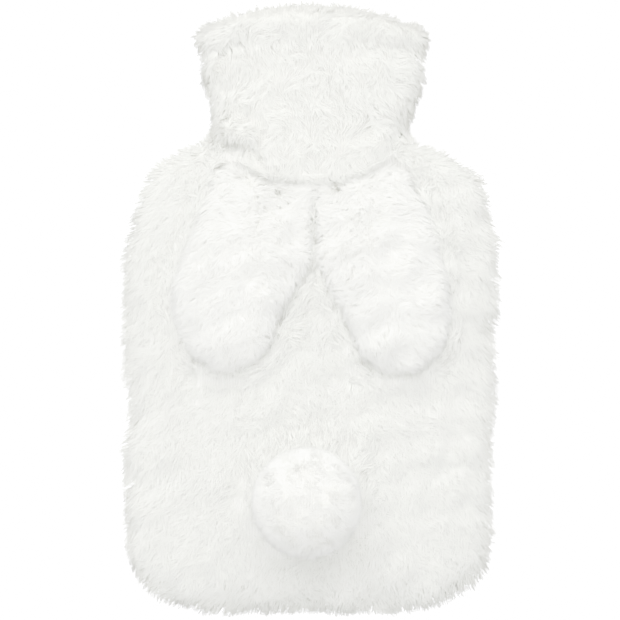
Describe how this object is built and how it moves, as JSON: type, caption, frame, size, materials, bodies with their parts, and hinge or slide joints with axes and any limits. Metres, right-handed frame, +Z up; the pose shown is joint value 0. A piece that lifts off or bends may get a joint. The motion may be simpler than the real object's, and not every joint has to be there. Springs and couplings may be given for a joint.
{
  "type": "hot water bottle cover",
  "caption": "White plush bag for a hot water bottle, with a funnel collar, a rolled hem at its mouth, hanging ears and a round pompom tail; it lies filled out on its back.",
  "frame": {"origin": "middle of the bounding box at the surface that the cover lies on", "axes": "+X across the bag, +Y from the bottom edge to the mouth, +Z up from the surface through the front with the ears and the tail"},
  "size_m": [0.2224, 0.361, 0.1207],
  "materials": {
    "front_panel": "matt plush pile",
    "back_panel": "matt plush pile",
    "collar": "matt plush pile",
    "ear_left": "matt plush pile",
    "ear_right": "matt plush pile",
    "tail": "matt pompom pile"
  },
  "bodies": {
    "root": {"front_panel": "front_panel", "back_panel": "back_panel", "collar": "collar", "ear_left": "ear_left", "ear_right": "ear_right", "tail": "tail"}
  },
  "joints": []
}
